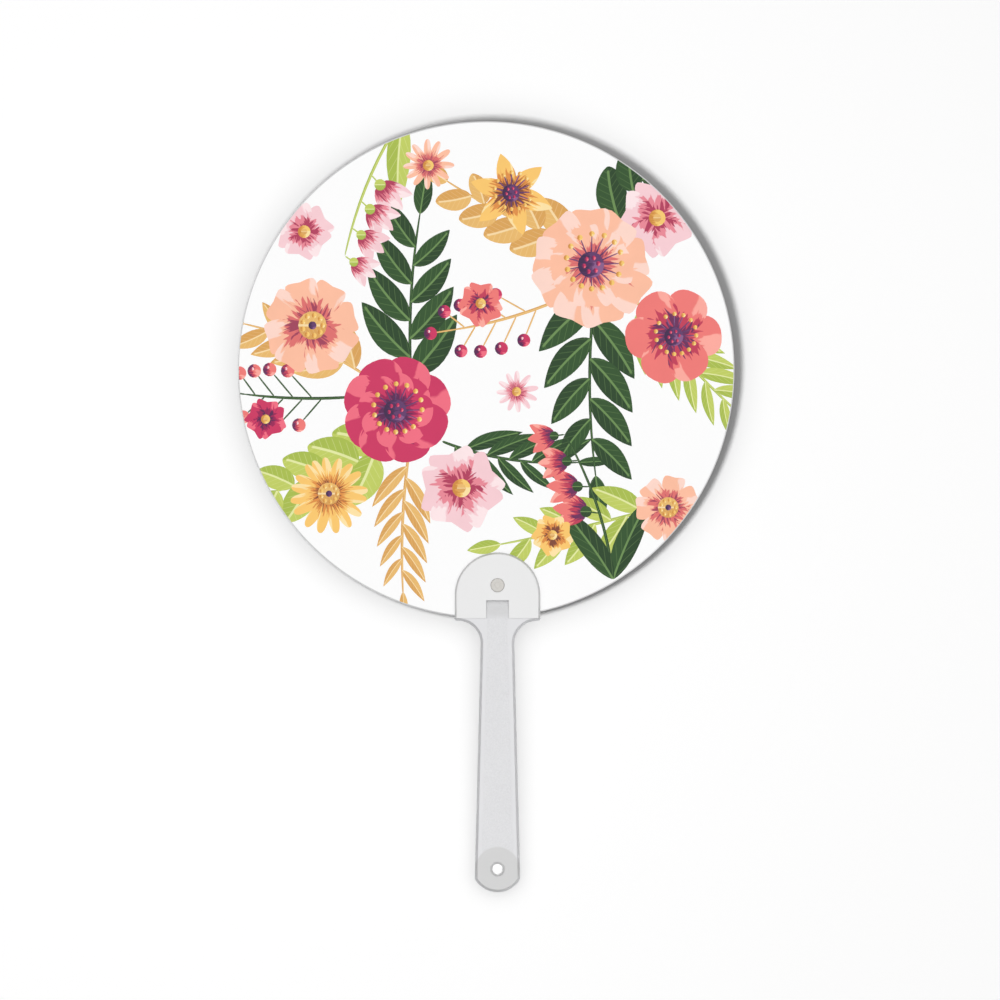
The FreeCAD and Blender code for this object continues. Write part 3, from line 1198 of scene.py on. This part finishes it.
def place_lamp(lamp: bpy.types.Light, at: Vector, way: Vector) -> bpy.types.Object:
    """Puts a lamp at a place, turned so that it shines along a way.

    Args:
        lamp: the lamp.
        at: its place.
        way: where its light goes.

    Returns:
        The lamp's object.
    """
    holder = bpy.data.objects.new(lamp.name, lamp)
    holder.location = at
    holder.rotation_euler = way.to_track_quat("-Z", "Y").to_euler()
    bpy.context.scene.collection.objects.link(holder)
    return holder


@dataclass(frozen=True)
class Sun:
    """A broad even lamp.

    Aim is the direction that its light travels in, level is how bright it makes a white sheet
    square to the axis that it shines along, and spread is its apparent size in degrees.
    """

    name: str
    aim: Aim
    level: float
    spread: float

    def build(self) -> bpy.types.Object:
        """The lamp, in the scene.

        Returns:
            The lamp's object.
        """
        way = Vector(self.aim).normalized()
        lamp = bpy.data.lights.new(self.name, "SUN")
        lamp.energy = self.level * math.pi / max(abs(part) for part in way)
        lamp.angle = math.radians(self.spread)
        return place_lamp(lamp, Vector(), way)


@dataclass(frozen=True)
class Bulb:
    """A spot lamp near its target, as bright there as further on.

    Level is how bright it makes a white sheet, reach is how far it is from its target, size is
    its radius, and cone is how wide it shines, in degrees.
    """

    name: str
    level: float
    reach: float
    size: float
    cone: float

    def build(self, target: Vector, aim: Vector) -> bpy.types.Object:
        """The lamp, in the scene.

        Args:
            target: the place that it shines at.
            aim: the direction that its light travels in.

        Returns:
            The lamp's object.
        """
        way = aim.normalized()
        lamp = bpy.data.lights.new(self.name, "SPOT")
        lamp.energy = self.level * (2 * math.pi) ** 2
        lamp.spot_size = math.radians(self.cone)
        lamp.shadow_soft_size = self.size
        lamp.use_nodes = True
        graph = Graph(lamp.node_tree)
        even = graph.add("ShaderNodeLightFalloff", {"Strength": 1.0}).outputs["Constant"]
        graph.feed(lamp.node_tree.nodes["Emission"].inputs["Strength"], even)
        return place_lamp(lamp, target - self.reach * way, way)


def gather(name: str, pieces: list[bpy.types.Object]) -> bpy.types.Collection:
    """A collection of some objects, for a lamp.

    Args:
        name: the collection's name.
        pieces: the objects.

    Returns:
        The collection.
    """
    group = bpy.data.collections.new(name)
    for piece in pieces:
        group.objects.link(piece)
    return group


@dataclass
class Studio:
    """A white wall close behind the fan, a pale floor, soft light and the camera.

    The sky is a cap in front of the fan, which fades in between two cosines from its middle, and
    sky_share is what such a cap gives a sheet that faces it, of what a whole sky would. The pin is
    a narrow lamp that lights the wall through the lanyard hole.
    """

    wall_gap: float = 3 * MM
    wall_lean: float = math.radians(2.0)
    wall_half: float = 0.6
    wall_colour: Colour = (0.99, 0.99, 0.99, 1.0)
    lift: float = 0.01
    floor_drop: float = 46 * MM
    sky: float = 0.42
    sky_from: Aim = (0.0, -1.0, 0.12)
    sky_fade: Fade = (0.54, 0.68)
    sky_share: float = 0.63
    front: Sun = Sun("front", (0.0, 1.0, 0.15), 0.57, 150.0)
    back_left: Sun = Sun("back_left", (0.3, -1.0, -0.4), 0.42, 70.0)
    back_right: Sun = Sun("back_right", (-0.4, -1.0, 0.1), 0.42, 70.0)
    back_rake: Sun = Sun("back_rake", (0.8, -1.0, -0.5), 0.84, 40.0)
    top: Sun = Sun("top", (0.0, 0.0, -1.0), 0.6, 30.0)
    wall_key: Bulb = Bulb("wall_key", 0.602, 0.75, 0.07, 100.0)
    wall_key_aim: Aim = (0.152, 1.0, 0.028)
    pin: Bulb = Bulb("pin", 0.36, 0.3, MM, 2.0)
    lens: float = 400.0
    sensor: float = 36.0
    view_width: float = 362.6 * MM
    view_centre: Spot = (0.9 * MM, 92.2 * MM)

    def sheet(self, name: str, turn: Matrix) -> bpy.types.Object:
        """A large white square that isn't part of the fan.

        Args:
            name: the object's name.
            turn: where a square in the XY plane goes.

        Returns:
            The square.
        """
        shape = bmesh.new()
        bmesh.ops.create_grid(shape, x_segments=1, y_segments=1, size=self.wall_half, matrix=turn)
        mesh = bpy.data.meshes.new(name)
        shape.to_mesh(mesh)
        shape.free()
        mesh.materials.append(self.white(f"{name}_white"))
        square = bpy.data.objects.new(name, mesh)
        bpy.context.scene.collection.objects.link(square)
        return square

    def white(self, name: str) -> bpy.types.Material:
        """White that takes shadows, and that only the camera sees, and only from its front.

        Args:
            name: the material's name.

        Returns:
            The material.
        """
        material = bpy.data.materials.new(name)
        material.use_nodes = True
        graph = Graph(material.node_tree)
        graph.tree.nodes.clear()
        path = graph.add("ShaderNodeLightPath").outputs
        seen = graph.math("MAXIMUM", path["Is Camera Ray"], path["Is Glossy Ray"])
        seen = graph.math("MAXIMUM", seen, path["Is Transmission Ray"])
        diffuse = graph.add("ShaderNodeBsdfDiffuse", {"Color": self.wall_colour})
        lift = graph.math("MULTIPLY", seen, self.lift)
        glow = graph.add("ShaderNodeEmission", {"Strength": lift})
        both = graph.add("ShaderNodeAddShader", {0: diffuse.outputs[0], 1: glow.outputs[0]})
        front = graph.math("SUBTRACT", 1.0, graph.add("ShaderNodeNewGeometry").outputs["Backfacing"])
        shown = graph.math("MULTIPLY", front, path["Is Camera Ray"])
        clear = graph.add("ShaderNodeBsdfTransparent").outputs[0]
        surface = graph.add("ShaderNodeMixShader", {0: shown, 1: clear, 2: both.outputs[0]})
        graph.add("ShaderNodeOutputMaterial", {"Surface": surface.outputs[0]})
        return material

    def world(self) -> None:
        """The sky's light, and white all round for the camera and for gloss."""
        world = bpy.data.worlds.new("studio")
        bpy.context.scene.world = world
        world.use_nodes = True
        graph = Graph(world.node_tree)
        graph.tree.nodes.clear()
        way = graph.add("ShaderNodeTexCoord").outputs["Generated"]
        inputs = {0: way, 1: Vector(self.sky_from).normalized()}
        facing = graph.add("ShaderNodeVectorMath", inputs, operation="DOT_PRODUCT").outputs["Value"]
        path = graph.add("ShaderNodeLightPath").outputs
        cap = graph.math("MULTIPLY", graph.step(facing, *self.sky_fade), self.sky / self.sky_share)
        first = graph.math("LESS_THAN", path["Diffuse Depth"], 0.5)
        seen = graph.math("MULTIPLY", path["Is Glossy Ray"], first)
        for ray in ("Is Camera Ray", "Is Transmission Ray"):
            seen = graph.math("MAXIMUM", seen, path[ray])
        level = graph.math("MAXIMUM", cap, seen)
        sky = graph.add("ShaderNodeBackground", {"Color": (1, 1, 1, 1), "Strength": level})
        graph.add("ShaderNodeOutputWorld", {"Surface": sky.outputs[0]})

    def lamps(self, wall: bpy.types.Object, floor: bpy.types.Object) -> None:
        """Lamps for the fan's front and back, the wall and the floor, each for its own objects.

        Those at the fan's back add no light by bounces, so that none gets round to the wall.

        Args:
            wall: the wall behind the fan.
            floor: the floor below it.
        """
        nodes = frame["nodes"]
        meshes = [piece for piece in bpy.context.scene.objects if piece.type == "MESH"]
        fan = [piece for piece in meshes if piece not in (wall, floor)]
        rest = [piece for piece in fan if piece != nodes["leaf_back"]]
        front = self.front.build()
        low, high = (Vector(corner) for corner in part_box("leaf_front"))
        wall_key = self.wall_key.build((low + high) / 2, Vector(self.wall_key_aim))
        leaf = [nodes[node] for node in ("leaf_front", "rib_frame", "leaf_back")]
        wall_key.light_linking.blocker_collection = gather("leaf_shadow", leaf)
        backs = (
            (self.back_left.build(), rest),
            (self.back_right.build(), rest),
            (self.back_rake.build(), [nodes["leaf_back"]]),
        )
        for lamp, _ in backs:
            lamp.data.cycles.max_bounces = 0
            lamp.data.cycles.use_multiple_importance_sampling = False
        hole = mount("lanyard_hole")
        pin = self.pin.build(hole, hole - self.eye())
        top = self.top.build()
        for lamp, pieces in ((front, fan), (wall_key, [wall]), *backs, (pin, [wall]), (top, [floor])):
            lamp.light_linking.receiver_collection = gather(f"lit_by_{lamp.name}", pieces)

    def eye(self) -> Vector:
        """Where the camera stands."""
        away = self.view_width * self.lens / self.sensor
        return Vector((self.view_centre[0], -away, self.view_centre[1]))

    def camera(self) -> None:
        """A long lens, square to the fan."""
        scene = bpy.context.scene
        lens = bpy.data.cameras.new("camera")
        lens.lens = self.lens
        lens.sensor_width = self.sensor
        eye = bpy.data.objects.new("camera", lens)
        eye.location = self.eye()
        eye.rotation_euler = (math.radians(90), 0, 0)
        scene.collection.objects.link(eye)
        scene.camera = eye

    def set_up(self) -> None:
        """Stage, light and camera."""
        bpy.context.scene.view_settings.view_transform = "Standard"
        foot = Matrix.Translation((0, CAD_BOX[1][1] + self.wall_gap, CAD_BOX[0][2]))
        upright = Matrix.Rotation(math.radians(90) - self.wall_lean, 4, "X")
        below = CAD_BOX[0][2] - self.floor_drop
        wall = self.sheet("wall", foot @ upright)
        floor = self.sheet("floor", Matrix.Translation((0, 0, below)))
        self.world()
        self.lamps(wall, floor)
        self.camera()


def main() -> None:
    """Dresses the fan and sets up its studio."""
    logging.basicConfig(level=logging.INFO, format="%(message)s")
    Leaf().finish()
    Handle().finish()
    Studio().set_up()


if __name__ == "__main__":
    main()
